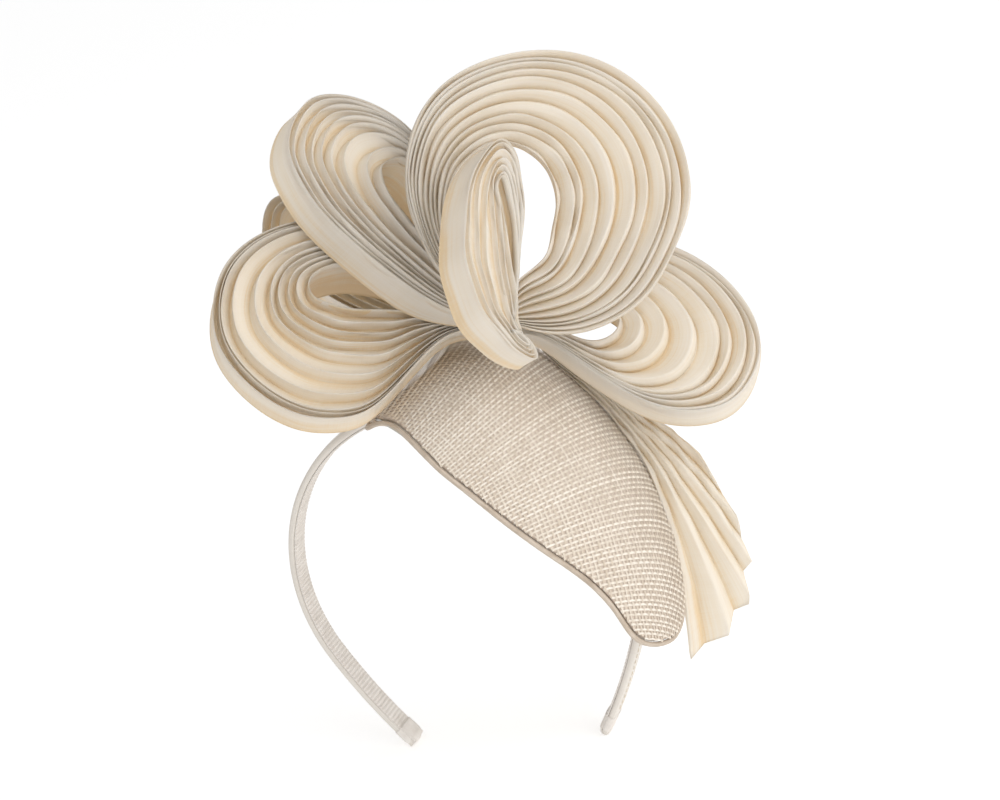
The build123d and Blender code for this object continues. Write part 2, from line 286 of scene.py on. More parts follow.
def noise(nodes, links, vector, scale, detail=2.0, rough=0.5):
    """Noise of a scale along each axis of a vector."""
    mapping = nodes.new("ShaderNodeMapping")
    mapping.inputs["Scale"].default_value = scale
    links.new(vector, mapping.inputs["Vector"])
    texture = nodes.new("ShaderNodeTexNoise")
    texture.inputs["Scale"].default_value = 1.0
    texture.inputs["Detail"].default_value = detail
    texture.inputs["Roughness"].default_value = rough
    links.new(mapping.outputs["Vector"], texture.inputs["Vector"])
    return texture.outputs["Fac"]


def math_node(nodes, links, operation, first, second):
    """Result of a maths node on two sockets or numbers."""
    node = nodes.new("ShaderNodeMath")
    node.operation = operation
    for slot, value in zip(node.inputs, (first, second)):
        if isinstance(value, (int, float)):
            slot.default_value = value
        else:
            links.new(value, slot)
    return node.outputs[0]


def ramp(nodes, links, factor, stops):
    """Colours along a factor, from (place, colour) pairs."""
    node = nodes.new("ShaderNodeValToRGB")
    places = node.color_ramp.elements
    while len(places) < len(stops):
        places.new(0.5)
    for element, (place, colour) in zip(places, stops):
        element.position = place
        element.color = (*colour, 1.0)
    links.new(factor, node.inputs["Fac"])
    return node.outputs["Color"]


def bump(nodes, links, shader, height, distance, strength=1.0):
    """Relief of a height on a shader, of a real depth in metres."""
    node = nodes.new("ShaderNodeBump")
    node.inputs["Strength"].default_value = strength
    node.inputs["Distance"].default_value = distance
    links.new(height, node.inputs["Height"])
    links.new(node.outputs["Normal"], shader.inputs["Normal"])


def through_light(nodes, links, shader, colour, share):
    """Lets a share of the light through the cloth."""
    thin = nodes.new("ShaderNodeBsdfTranslucent")
    if isinstance(colour, tuple):
        thin.inputs["Color"].default_value = (*colour, 1.0)
    else:
        links.new(colour, thin.inputs["Color"])
    mix = nodes.new("ShaderNodeMixShader")
    mix.inputs["Fac"].default_value = share
    links.new(shader.outputs[0], mix.inputs[1])
    links.new(thin.outputs[0], mix.inputs[2])
    links.new(mix.outputs[0], nodes["Material Output"].inputs["Surface"])


def cloth(name, dark, mid, light, along=(45.0, 3200.0), across=(2600.0, 90.0), relief=0.00006,
          rough=0.42, sheen=0.35, share=0.22, use_shade=False, glow=None):
    """Silk or ribbon with fine lengthwise threads, a faint cross weave, slubs and sheen."""
    material, nodes, links, shader = new_material(name)
    uv = nodes.new("ShaderNodeUVMap")
    uv.uv_map = "threads"
    thread = noise(nodes, links, uv.outputs["UV"], (*along, 1.0), 3.0, 0.6)
    broad = noise(nodes, links, uv.outputs["UV"], (along[0] * 0.5, along[1] * 0.22, 1.0), 2.0)
    cross = noise(nodes, links, uv.outputs["UV"], (*across, 1.0), 2.0)
    cloud = noise(nodes, links, uv.outputs["UV"], (60.0, 60.0, 1.0), 2.0)
    tone = math_node(nodes, links, "MULTIPLY", thread, 0.42)
    tone = math_node(nodes, links, "ADD", tone, math_node(nodes, links, "MULTIPLY", broad, 0.3))
    tone = math_node(nodes, links, "ADD", tone, math_node(nodes, links, "MULTIPLY", cross, 0.13))
    tone = math_node(nodes, links, "ADD", tone, math_node(nodes, links, "MULTIPLY", cloud, 0.15))
    # the 'shade' attribute adds each point's tone: on the silk a random tone per panel with painted light and
    # shade of the folds, on the strands each strand's own tone with painted glints where it rides over the
    # other set
    if use_shade:
        shade = nodes.new("ShaderNodeAttribute")
        shade.attribute_name = "shade"
        tone = math_node(nodes, links, "ADD", tone, shade.outputs["Fac"])
    colour = ramp(nodes, links, tone, [(0.34, dark), (0.48, mid), (0.64, light)])
    links.new(colour, shader.inputs["Base Color"])
    shader.inputs["Roughness"].default_value = rough
    shader.inputs["Sheen Weight"].default_value = sheen
    shader.inputs["Sheen Roughness"].default_value = 0.35
    shader.inputs["Sheen Tint"].default_value = (1.0, 0.95, 0.86, 1.0)
    shader.inputs["Specular IOR Level"].default_value = 0.35
    height = math_node(nodes, links, "ADD", thread, math_node(nodes, links, "MULTIPLY", cross, 0.5))
    bump(nodes, links, shader, height, relief)
    if share:
        through_light(nodes, links, shader, glow or colour, share)
    return material


# The silk's dark colour shows in its threads' tone and in the painted shade down in the folds
SILK = cloth("pleated_silk", (0.84, 0.68, 0.46), (0.90, 0.85, 0.76), (0.94, 0.92, 0.88), along=(30.0, 1800.0),
             sheen=0.12, share=0.42, use_shade=True, glow=(0.94, 0.85, 0.70))
RIBBON = cloth("satin_ribbon", (0.62, 0.57, 0.51), (0.72, 0.67, 0.61), (0.80, 0.76, 0.70),
               along=(30.0, 2400.0), across=(1500.0, 60.0), rough=0.38, share=0.0)
RIBBED = cloth("ribbed_ribbon", (0.66, 0.61, 0.55), (0.76, 0.71, 0.66), (0.84, 0.80, 0.75),
               along=(400.0, 200.0), across=(300.0, 2200.0), rough=0.55, share=0.0)
STRAND = cloth("sinamay", (0.62, 0.51, 0.40), (0.75, 0.65, 0.53), (0.95, 0.88, 0.78),
               along=(80.0, 5200.0), across=(300.0, 300.0), rough=0.30, sheen=0.15,
               share=0.12, use_shade=True)
BUCKRAM = cloth("buckram", (0.58, 0.47, 0.37), (0.69, 0.58, 0.48), (0.78, 0.68, 0.58),
                along=(900.0, 900.0), across=(1500.0, 1500.0), relief=0.0001, rough=0.7, share=0.0)
# Binding cloth round the rim; its colour is darkened to paint the thin shadow along the rim's edge as well
BINDING_WITH_PAINTED_SHADOW = cloth("rim_binding", (0.38, 0.30, 0.23), (0.52, 0.43, 0.34), (0.64, 0.55, 0.46),
                along=(200.0, 1600.0), across=(1400.0, 200.0), relief=0.0001, rough=0.5, share=0.0)
LINING = cloth("base_lining", (0.66, 0.58, 0.48), (0.76, 0.69, 0.59), (0.83, 0.77, 0.68),
               along=(1200.0, 1200.0), across=(2200.0, 700.0), relief=0.00005, rough=0.75, share=0.0)
THREAD = cloth("thread", (0.62, 0.52, 0.38), (0.78, 0.69, 0.55), (0.88, 0.81, 0.69),
               along=(600.0, 600.0), across=(900.0, 900.0), rough=0.5, share=0.0)


def solid_material(name, colour, rough, metal):
    """Hard material with a fine uneven finish."""
    material, nodes, links, shader = new_material(name)
    place = nodes.new("ShaderNodeTexCoord")
    uneven = noise(nodes, links, place.outputs["Object"], (300.0, 300.0, 300.0), 3.0)
    dim = tuple(c * 0.85 for c in colour)
    links.new(ramp(nodes, links, uneven, [(0.3, dim), (0.7, colour)]), shader.inputs["Base Color"])
    shader.inputs["Roughness"].default_value = rough
    shader.inputs["Metallic"].default_value = metal
    bump(nodes, links, shader, uneven, 0.00002)
    return material


CORE = solid_material("band_core", (0.80, 0.78, 0.73), 0.45, 0.0)
WIRE = solid_material("wire", (0.62, 0.60, 0.56), 0.35, 1.0)
for node_name, finish in (("crown_core", CORE), ("left_leg_core", CORE), ("right_leg_core", CORE),
                          ("rim_wire", WIRE)):
    for material_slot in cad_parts[node_name].material_slots:
        material_slot.link = "OBJECT"
        material_slot.material = finish

# ---------------------------------------------------------------- trimming planes
azimuth, rise, roll = (math.radians(v) for v in (TRIM_AZIMUTH, TRIM_RISE, TRIM_ROLL))
LEVEL = np.array([math.cos(azimuth), math.sin(azimuth), 0.0])
OUT = np.array([math.sin(azimuth) * math.cos(rise), -math.cos(azimuth) * math.cos(rise), math.sin(rise)])
ACROSS = LEVEL * math.cos(roll) + np.cross(OUT, LEVEL) * math.sin(roll)
UP = np.cross(OUT, ACROSS)


def loop_axes(out, pitch, yaw):
    """Origin and three axes of one loop's plane, moved out from the root, then pitched and yawed."""
    tip, turn = math.radians(pitch), math.radians(yaw)
    level_y = UP * math.cos(tip) + OUT * math.sin(tip)
    level_z = OUT * math.cos(tip) - UP * math.sin(tip)
    side = ACROSS * math.cos(turn) - level_z * math.sin(turn)
    return np.array(TRIM_ROOT) + OUT * out, side, level_y, np.cross(side, level_y)


def curve_shares(place, count):
    """How much each of some evenly spaced curves counts at a place between them."""
    at = np.linspace(0.0, 1.0, count)
    return [np.prod([(place - at[m]) / (at[k] - at[m]) for m in range(count) if m != k], axis=0)
            for k in range(count)]


def pleated(name, axes, curves, places, pleat, back, deepest, lean=0.84, front=3.5, outer=None, inner=None,
            seed=1, gather=0.5, window=(0.16, 0.16), samples=190, crinkle=0.14, notch=0.0):
    """Pleated strip with a front fold at each place between the curves: 0 the outermost, 1 the innermost.

    back is the pleats' direction in the trimming's axes, outer and inner the free end panels' widths, and
    notch how far the valleys are cut back at the end. Returns the piece and its flat width, length and area,
    in millimetres.
    """
    rng = np.random.default_rng(seed)
    origin, x_axis, y_axis, z_axis = axes
    t = np.linspace(0.0, 1.0, samples)
    knots = np.mean([chord_knots(c) / chord_knots(c)[-1] for c in curves], axis=0)
    weights = spline_weights(knots, t)
    lines = [weights @ np.array(c) for c in curves]
    folds = len(places)
    mid_share = smooth(t / window[0]) * smooth((1 - t) / window[1])
    fold_lines = []
    for index, place in enumerate(places):
        drift = 0.0
        if 0 < index < folds - 1:
            drift = 0.2 / folds * np.sin(2 * np.pi * (t * rng.uniform(0.6, 1.6) + rng.uniform())) * mid_share
        shares = curve_shares(place + drift, len(curves))
        flat = sum(s[:, None] * line if np.ndim(s) else s * line for s, line in zip(shares, lines))
        lift = front + 0.4 * np.sin(2 * np.pi * (t * rng.uniform(1, 2) + rng.uniform())) * mid_share
        fold_lines.append(origin + flat[:, :1] * x_axis + flat[:, 1:] * y_axis + lift[:, None] * z_axis)
    ground = unit(ACROSS * back[0] + UP * back[1] + OUT * back[2])
    width = pleat * (gather + (1 - gather) * mid_share)[:, None]
    outer = pleat if outer is None else outer
    inner = pleat if inner is None else inner
    rows = [fold_lines[0] + ground * width * (outer / pleat)]
    for near, far in zip(fold_lines[:-1], fold_lines[1:]):
        space = np.linalg.norm(far - near, axis=1)[:, None]
        depth = np.sqrt(np.maximum(width**2 - (space / 2) ** 2, (0.3 * width) ** 2))
        depth = np.minimum(depth, deepest)
        rows += [near, near * (1 - lean) + far * lean + ground * depth]
    rows += [fold_lines[-1], fold_lines[-1] + ground * width * (inner / pleat)]
    if notch:
        # the cut end runs back from each front fold to the valleys beside it
        ends = [1.0 - notch * min(index / 6, 1.0) * rng.uniform(0.4, 1.0) * (index % 2 == 0)
                for index in range(len(rows))]
        rows = [np.stack([np.interp(t * end, t, row[:, axis]) for axis in range(3)], -1)
                for end, row in zip(ends, rows)]
    steps = (0.0, 0.07, 0.3, 0.6, 0.93)
    columns, v_place, shade_columns, run = [], [], [], 0.0
    for index, (near, far) in enumerate(zip(rows[:-1], rows[1:])):
        along = np.gradient((near + far) / 2, axis=0)
        normal = np.cross(along, far - near)
        normal /= np.maximum(np.linalg.norm(normal, axis=1, keepdims=True), 1e-9)
        swell = rng.uniform(0.15, 0.5) * mid_share[:, None]
        wave = sum(np.sin(2 * np.pi * (t * rng.uniform(4, 11) + rng.uniform())) for _ in range(3))
        wave = (crinkle * wave * mid_share)[:, None]
        # each panel's own random tone, with painted shade on the inner free panel
        tone = rng.uniform(-0.03, 0.03) - (INNER_SHADE if index == len(rows) - 2 else 0.0)
        for step in steps:
            bulge = math.sin(math.pi * step)
            columns.append(near * (1 - step) + far * step + normal * (swell + wave) * bulge)
            v_place.append(run + pleat * step)
            # painted light at the front folds and painted shade darker down in each fold
            down = step if index % 2 else 1 - step
            shade_columns.append(tone + FOLD_LIGHT - FOLD_SHADE * down**2)
        run += pleat
    columns.append(rows[-1])
    v_place.append(run)
    shade_columns.append(-INNER_SHADE)
    grid = np.stack(columns, axis=1)
    length = float(np.mean([chord_knots(line)[-1] for line in fold_lines]))
    u = t * length
    uv = np.stack(np.broadcast_arrays(u[:, None], np.array(v_place)[None, :]), axis=-1)
    uv = uv + np.array([seed * 37.0, seed * 11.0])
    points, faces, threads = thick_sheet(grid, uv, SILK_THICK)
    shade = np.broadcast_to(np.array(shade_columns)[None, :], grid.shape[:2]).reshape(-1)
    piece = add_mesh(name, points, faces, SILK, threads, np.concatenate([shade, shade]))
    widths = np.linalg.norm(np.diff(grid, axis=1), axis=2).sum(axis=1)
    cells = np.cross(grid[1:, :-1] - grid[:-1, :-1], grid[:-1, 1:] - grid[:-1, :-1])
    area = float(np.linalg.norm(cells, axis=2).sum())
    return piece, (float(np.percentile(widths, 80)), length, area)


def stand_in(piece, body, slot_name, *nodes):
    """Hands a piece to the frame: the body it rides and the CAD nodes it replaces; its slot name is not used.
    """
    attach(piece, body)
    if nodes:
        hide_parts(*nodes)


def trimming(node, axes, curves, places, pleat, back, deepest, held="gathered", wedge=False, **shape):
    """Pleated strip that stands for a loop or the tail; its flat cut is worked out and not used."""
    piece, cut = pleated(f"{node}_silk", axes, curves, places, pleat, back, deepest, **shape)
    stand_in(piece, "headpiece", "pleated_silk", node)


# Front-fold curves of each piece in its own plane, the outermost first, from the root round to the root.
# All but the rear loop's were carried from the photo onto these planes by a separate program, then rounded.
TOP_CURVES = [
    [(0.0, 6.0), (12.0, 3.0), (26.5, 4.0), (39.5, 10.5), (52.0, 26.0), (59.5, 50.0), (52.0, 74.5),
     (33.5, 90.5), (13.0, 95.0), (-9.0, 90.5), (-25.0, 79.0), (-33.0, 57.0), (-31.0, 41.0), (-23.0, 24.0),
     (-1.0, 5.0)],
    [(-0.5, 10.5), (2.5, 18.5), (7.5, 23.0), (11.5, 26.5), (14.5, 35.0), (16.0, 46.0), (13.5, 55.5),
     (8.0, 61.5), (1.0, 64.5), (-8.0, 63.0), (-15.0, 57.5), (-19.5, 47.0), (-19.0, 34.0), (-13.0, 21.0),
     (0.0, 7.0)],
]
UPPER_CURVES = [
    [(-2.5, 6.0), (-18.5, 10.5), (-34.5, 20.0), (-49.5, 32.0), (-62.0, 44.5), (-69.0, 56.0),
     (-71.0, 69.0), (-65.0, 79.5), (-56.5, 81.5), (-43.5, 78.0), (-31.0, 69.0), (-20.5, 49.5),
     (-9.5, 25.0), (-1.0, 7.5)],
    [(-1.5, 9.5), (-11.5, 17.5), (-20.5, 27.0), (-28.0, 35.0), (-34.0, 42.5), (-39.0, 49.5),
     (-41.0, 57.0), (-39.0, 59.5), (-36.5, 60.5), (-32.5, 60.0), (-27.0, 55.5), (-20.5, 43.5),
     (-10.5, 25.0), (-1.0, 9.5)],
]
LEFT_CURVES = [
    [(-1.0, 1.0), (-19.0, 1.0), (-28.0, -7.0), (-36.5, -17.5), (-46.5, -27.0), (-58.0, -30.0),
     (-71.0, -28.0), (-85.0, -19.0), (-94.5, -6.5), (-97.0, 6.5), (-94.5, 19.5), (-85.5, 31.0),
     (-69.5, 38.5), (-49.5, 38.0), (-23.0, 23.0), (-1.0, 6.0)],
    [(-3.0, 5.0), (-17.5, 6.5), (-25.0, 7.5), (-31.0, 8.5), (-36.0, 8.5), (-42.5, 8.5), (-52.5, 8.5),
     (-60.5, 10.5), (-64.5, 12.5), (-66.0, 16.0), (-65.0, 19.5), (-61.0, 22.5), (-54.0, 24.5),
     (-41.0, 23.5), (-19.5, 16.5), (-1.0, 7.0)],
]
RIGHT_CURVES = [
    [(1.5, 3.0), (12.0, 1.5), (22.5, -5.0), (35.0, -13.5), (49.0, -20.5), (64.0, -22.0), (76.0, -17.5),
     (83.0, -6.5), (83.0, 5.5), (75.5, 18.0), (64.0, 27.5), (49.0, 33.5), (31.0, 32.5), (14.0, 20.5),
     (2.5, 8.0)],
    [(2.5, 5.0), (11.0, 5.5), (16.0, 4.5), (21.5, 2.5), (26.0, 1.0), (31.0, 1.0), (35.0, 3.0),
     (37.0, 6.0), (37.0, 9.0), (35.0, 11.0), (32.0, 12.5), (27.5, 13.0), (21.5, 12.5), (12.5, 10.0),
     (3.0, 7.5)],
]
CENTRE_CURVES = [
    [(0.0, 3.0), (7.5, -1.0), (9.5, -5.5), (4.0, -4.5), (-3.5, 1.5), (-10.5, 8.0), (-15.0, 16.0),
     (-18.5, 26.0), (-18.5, 36.5), (-17.5, 45.0), (-14.5, 53.5), (-9.5, 60.0), (-4.0, 63.5), (0.5, 60.5),
     (3.0, 53.0), (4.5, 42.5), (3.0, 31.5), (2.0, 20.5), (0.5, 7.0)],
    [(-0.5, 3.5), (1.5, 3.0), (3.0, 3.0), (2.5, 4.5), (1.5, 7.5), (1.5, 11.0), (1.0, 16.0), (-0.5, 22.5),
     (-2.0, 31.5), (-3.5, 39.5), (-5.0, 45.5), (-5.5, 49.5), (-3.5, 52.0), (-2.0, 49.5), (-0.5, 44.0),
     (1.0, 36.5), (1.5, 28.5), (1.5, 19.0), (0.5, 6.5)],
]
REAR_CURVES = [
    [(0.0, 1.0), (-16.0, 2.0), (-35.0, 6.5), (-54.0, 13.0), (-72.0, 24.0), (-83.0, 38.0), (-80.0, 49.0),
     (-66.0, 50.0), (-48.0, 46.0), (-28.0, 33.0), (-12.0, 18.0), (0.0, 6.0)],
    [(0.0, 3.0), (-16.0, 8.0), (-34.0, 14.0), (-46.0, 20.0), (-57.0, 27.0), (-65.0, 36.0), (-66.0, 40.0),
     (-60.0, 39.0), (-50.0, 35.0), (-34.0, 26.0), (-16.0, 13.0), (0.0, 5.0)],
]
TAIL_CURVES = [
    [(8.0, 2.0), (19.0, -9.0), (30.0, -18.5), (39.0, -29.0), (47.0, -40.5), (52.0, -52.0), (55.5, -63.0),
     (58.5, -74.5), (60.5, -87.0), (62.5, -107.0)],
    [(8.5, 2.5), (20.5, -7.5), (32.5, -16.5), (43.0, -26.5), (52.5, -36.0), (60.0, -45.5), (67.0, -55.0),
     (73.0, -64.5), (78.5, -73.5), (83.5, -82.0)],
    [(9.0, 3.5), (20.5, -5.5), (31.0, -12.5), (39.0, -18.0), (46.0, -23.0), (52.0, -26.5), (56.5, -30.0),
     (61.0, -33.5), (65.0, -37.5), (68.0, -41.5)],
]
ROOT_NAME = "bound_root"
TOP_PLACES = (0.0, 0.07, 0.145, 0.21, 0.31, 0.44, 0.585, 0.69, 0.81, 0.89, 1.0)
UPPER_PLACES = (0.0, 0.08, 0.17, 0.27, 0.36, 0.48, 0.62, 0.82, 1.0)
LEFT_PLACES = (0.0, 0.045, 0.10, 0.22, 0.42, 0.58, 0.70, 0.80, 0.89, 1.0)
RIGHT_PLACES = (0.0, 0.05, 0.12, 0.20, 0.29, 0.46, 0.66, 0.86, 1.0)
CENTRE_PLACES = (0.0, 0.13, 0.3, 0.5, 0.72, 0.88, 1.0)
REAR_PLACES = (0.0, 0.15, 0.35, 0.6, 0.82, 1.0)
TAIL_PLACES = (0.0, 0.2, 0.4, 0.62, 0.82, 1.0)
trimming("top_loop", loop_axes(27.7, -4.0, 6.0), TOP_CURVES, TOP_PLACES, 6.0, (-0.05, -0.12, -0.99), 3.8,
         lean=0.86, seed=3)
trimming("upper_left_loop", loop_axes(18.7, -5.0, 0.0), UPPER_CURVES, UPPER_PLACES, 6.5, (-0.6, -0.5, -0.62),
         4.2, outer=11.5, inner=18.0, seed=5)
trimming("left_loop", loop_axes(9.7, -19.0, 7.0), LEFT_CURVES, LEFT_PLACES, 7.0, (-0.18, -0.5, -0.85), 4.4,
         outer=10.0, inner=20.0, seed=8)
trimming("right_loop", loop_axes(2.6, 0.0, 0.0), RIGHT_CURVES, RIGHT_PLACES, 6.5, (0.05, -0.53, -0.85), 4.4,
         outer=10.5, inner=9.0, seed=13)
trimming("centre_loop", loop_axes(46.7, 0.0, 35.0), CENTRE_CURVES, CENTRE_PLACES, 4.0, (-0.72, -0.43, -0.54),
         2.2, outer=11.5, seed=21)
trimming("rear_loop", loop_axes(-22.0, 0.0, 0.0), REAR_CURVES, REAR_PLACES, 6.5, (-0.1, -0.4, -0.9), 5.5,
         seed=34)
trimming("tail_fan", loop_axes(-20.0, 0.0, 0.0), TAIL_CURVES, TAIL_PLACES, 8.5, (0.1, 0.0, -1.0), 2.6,
         held="folded", wedge=True, lean=0.35, outer=3.0, inner=5.0, window=(0.35, 0.01), seed=55, notch=0.08)

# ---------------------------------------------------------------- base
lean_angle, forward = math.radians(BASE_LEAN), math.radians(BASE_TIP_FORWARD)
BASE_X = np.array([math.cos(lean_angle), 0.0, -math.sin(lean_angle)])
BASE_Z = np.array([math.sin(lean_angle) * math.cos(forward), -math.sin(forward),
                   math.cos(lean_angle) * math.cos(forward)])
BASE_Y = np.cross(BASE_Z, BASE_X)
BASE_ORIGIN = np.array([BASE_HEIGHT * math.sin(lean_angle), BASE_SHIFT_Y, BASE_HEIGHT * math.cos(lean_angle)])
end_turn = math.asin((CREST - END_START) / LONG_RADIUS)
end_along = END_START + END_RADIUS * math.sin(end_turn)
end_out = (LONG_RADIUS - END_RADIUS) * math.cos(end_turn) - LONG_RADIUS


def end_limit(across, depth):
    """Place along the base where its crown end stands, some depth below its outer face."""
    ridge = np.sqrt(across**2 + (CROSS_RADIUS - END_DROP) ** 2) - CROSS_RADIUS
    return end_along - np.sqrt(np.maximum((END_RADIUS - depth) ** 2 - (ridge - end_out) ** 2, 0.0))


def dome_height(along, across, depth):
    """Height of the egg in the base's own axes, some depth below its outer face."""
    body = np.sqrt((LONG_RADIUS - depth) ** 2 - (along - CREST) ** 2) - LONG_RADIUS
    end = end_out + np.sqrt(np.maximum((END_RADIUS - depth) ** 2 - (along - end_along) ** 2, 0.0))
    ridge = np.where(along > END_START, body, end)
    return np.sqrt(np.maximum((CROSS_RADIUS + ridge) ** 2 - across**2, 0.0)) - CROSS_RADIUS


def dome(along, across, depth):
    """Points on the egg some depth below its outer face, in the row frame, with its steep crown end."""
    limit = end_limit(across, depth)
    held = np.maximum(along, limit)
    drop = -END_DROP - dome_height(limit, across, depth)
    out = dome_height(held, across, depth) + (1 - smooth((held - limit) / END_RUN)) * drop
    return BASE_ORIGIN + held[..., None] * BASE_X + across[..., None] * BASE_Y + out[..., None] * BASE_Z


def outline_points(count, inset=0.0):
    """Points round the base's outline in its own plane, some way inside it."""
    knots = chord_knots(BASE_OUTLINE, closed=True)
    at = np.linspace(0.0, knots[-1], count, endpoint=False)
    ring = spline_weights(knots, at, closed=True) @ np.array(BASE_OUTLINE)
    tangent = np.roll(ring, -1, axis=0) - np.roll(ring, 1, axis=0)
    tangent /= np.linalg.norm(tangent, axis=1, keepdims=True)
    return ring + np.stack([-tangent[:, 1], tangent[:, 0]], -1) * inset


def inside(points, polygon):
    """Which points lie inside a closed polygon."""
    x, y = points[..., 0], points[..., 1]
    hit = np.zeros(x.shape, bool)
    for (x0, y0), (x1, y1) in zip(polygon, np.roll(polygon, -1, axis=0)):
        if y0 != y1:
            hit ^= ((y0 > y) != (y1 > y)) & (x < (x1 - x0) * (y - y0) / (y1 - y0) + x0)
    return hit


def base_shell(name, top_depth, bottom_depth, inset, material, slot_name, node):
    """Closed shell of the base between two depths, its edge inside the rim."""
    rings, count = 48, 144
    edge = outline_points(count, inset)
    middle = edge.mean(axis=0)
    share = np.linspace(0.02, 1.0, rings)[:, None, None]
    flat = middle + share * (edge - middle)
    shells = [dome(flat[..., 0], flat[..., 1], depth) for depth in (top_depth, bottom_depth)]
    points = np.concatenate([s.reshape(-1, 3) for s in shells])
    faces = grid_faces(rings, count, wrap_cols=True)
    size = rings * count
    back = faces[:, ::-1] + size
    edge_index = np.arange(count) + (rings - 1) * count
    after = np.roll(edge_index, -1)
    wall = np.stack([edge_index, after, after + size, edge_index + size], -1)
    cap = [list(range(count))[::-1], [size + k for k in range(count)]]
    threads = np.concatenate([flat.reshape(-1, 2)] * 2)
    shell = add_mesh(name, points, [*faces, *back, *wall, *cap], material, threads)
    stand_in(shell, "headpiece", slot_name, node)


def weave(name, first_axis, tone):
    """One set of flat strands of the open weave, over and under the other set, cut at the rim."""
    rng = np.random.default_rng(7 if first_axis else 11)
    polygon = outline_points(160)
    polygon[:, 0] = np.maximum(polygon[:, 0], end_limit(polygon[:, 1], WEAVE_DEPTH))
    reach = int(WEAVE_REACH / WEAVE_PITCH)
    index = np.arange(-reach, reach + 1)
    half_steps = np.arange(-2 * reach, 2 * reach + 1)
    points, faces, threads, shades = [], [], [], []
    first = 0
    for strand in index:
        across_place = strand * WEAVE_PITCH + rng.normal(0, 0.05)
        wander = 0.10 * np.sin(half_steps * 0.03 + rng.uniform(0, 6))
        run = half_steps * WEAVE_PITCH / 2
        side = across_place + wander
        pair = (run, side + 0 * run) if first_axis else (side + 0 * run, run)
        sign = 1 if first_axis else -1
        rise = np.where(half_steps % 2 == 0, sign * (-1.0) ** (strand + half_steps // 2), 0.0) * WEAVE_RISE
        contrast = LENGTH_CONTRAST if first_axis else 1.0
        bright = rng.choice(STRAND_TONES, p=STRAND_ODDS) * contrast + tone
        offsets = ((-STRAND_HALF, 0.0), (0.0, STRAND_THICK / 2), (STRAND_HALF, 0.0), (0.0, -STRAND_THICK / 2))
        section = []
        for shift, lift in offsets:
            plain_s = pair[0] + (0.0 if first_axis else shift)
            plain_q = pair[1] + (shift if first_axis else 0.0)
            bent = plain_s - WEAVE_STRAIGHT
            s = plain_s + WEAVE_BEND * bent * plain_q
            q = plain_q - WEAVE_BEND / 2 * bent * np.abs(bent)
            along = CREST + LONG_RADIUS * np.sin(np.clip(s / LONG_RADIUS, -1.2, 1.2))
            body = np.sqrt(LONG_RADIUS**2 - (along - CREST) ** 2) - LONG_RADIUS
            radius = CROSS_RADIUS + body
            across = radius * np.sin(np.clip(q / CROSS_RADIUS, -1.3, 1.3))
            section.append((along, across, rise + lift))
        keep = inside(np.stack([section[1][0], section[1][1]], -1), polygon)
        crossings = np.diff(np.concatenate([[0], keep.astype(int), [0]]))
        starts = np.flatnonzero(crossings == 1)
        ends = np.flatnonzero(crossings == -1)
        for start, end in zip(starts, ends):
            if end - start < 3:
                continue
            ring = np.stack([dome(a[start:end], c[start:end], WEAVE_DEPTH) + lift[start:end, None] * BASE_Z
                             for a, c, lift in section], axis=1)
            rows = end - start
            points.append(ring.reshape(-1, 3))
            faces.append(grid_faces(rows, 4, wrap_cols=True, first=first))
            caps = np.array([[3, 2, 1, 0], [4 * rows - 4, 4 * rows - 3, 4 * rows - 2, 4 * rows - 1]]) + first
            faces.append(caps)
            run_here = np.repeat(run[start:end], 4)
            around = np.tile(np.array([0.0, STRAND_HALF, 2 * STRAND_HALF, STRAND_HALF]), rows) + strand * 3.7
            threads.append(np.stack([run_here, around], -1))
            glint = np.repeat(0.05 * (rise[start:end] > 0), 4)
            shades.append(bright + glint)
            first += 4 * rows
    return add_mesh(name, np.concatenate(points), np.concatenate(faces), STRAND, np.concatenate(threads),
                    np.concatenate(shades), flat=True)


weft = weave("base_weave_lengthwise", True, LENGTH_TONE)
warp = weave("base_weave_crosswise", False, CROSS_TONE)
for strands in (weft, warp):
    stand_in(strands, "headpiece", "sinamay", "base_sinamay")
base_shell("base_buckram", 0.55, 1.5, 0.8, BUCKRAM, "buckram", "base_stiffener")
base_shell("base_cloth_lining", 1.7, 2.6, 1.4, LINING, "base_lining", "base_lining")


def tube(path, radius, sides, closed=False, wobble=0.0, seed=1):
    """Points, faces and thread directions of a tube along a path, its section kept level."""
    rng = np.random.default_rng(seed)
    count = len(path)
    if closed:
        tangent = np.roll(path, -1, axis=0) - np.roll(path, 1, axis=0)
    else:
        tangent = np.gradient(path, axis=0)
    tangent /= np.linalg.norm(tangent, axis=1, keepdims=True)
    side = np.cross(tangent, BASE_Z + 0.001)
    side /= np.linalg.norm(side, axis=1, keepdims=True)
    other = np.cross(side, tangent)
    angle = np.linspace(0, 2 * np.pi, sides, endpoint=False)
    swell = radius * (1 + wobble * rng.uniform(-1, 1, (count, 1, 1)))
    ring = path[:, None] + swell * (np.cos(angle)[None, :, None] * side[:, None]
                                    + np.sin(angle)[None, :, None] * other[:, None])
    faces = grid_faces(count, sides, wrap_cols=True)
    if closed:
        j = np.arange(sides)
        k = (j + 1) % sides
        last = (count - 1) * sides
        faces = np.concatenate([faces, np.stack([last + j, last + k, k, j], -1)])
        caps = []
    else:
        caps = [list(range(sides))[::-1], [(count - 1) * sides + v for v in range(sides)]]
    run = np.repeat(chord_knots(path), sides)
    threads = np.stack([run, np.tile(angle * radius, count)], -1)
    return ring.reshape(-1, 3), [*faces, *caps], threads


rim_flat = outline_points(420)
rim_path = dome(rim_flat[:, 0], rim_flat[:, 1], RIM_DEPTH)
rim_points, rim_faces, rim_threads = tube(rim_path, RIM_RADIUS, 12, closed=True, wobble=0.03)
binding = add_mesh("rim_fold", rim_points, rim_faces, BINDING_WITH_PAINTED_SHADOW, rim_threads)
stand_in(binding, "headpiece", "rim_binding", "rim_binding")


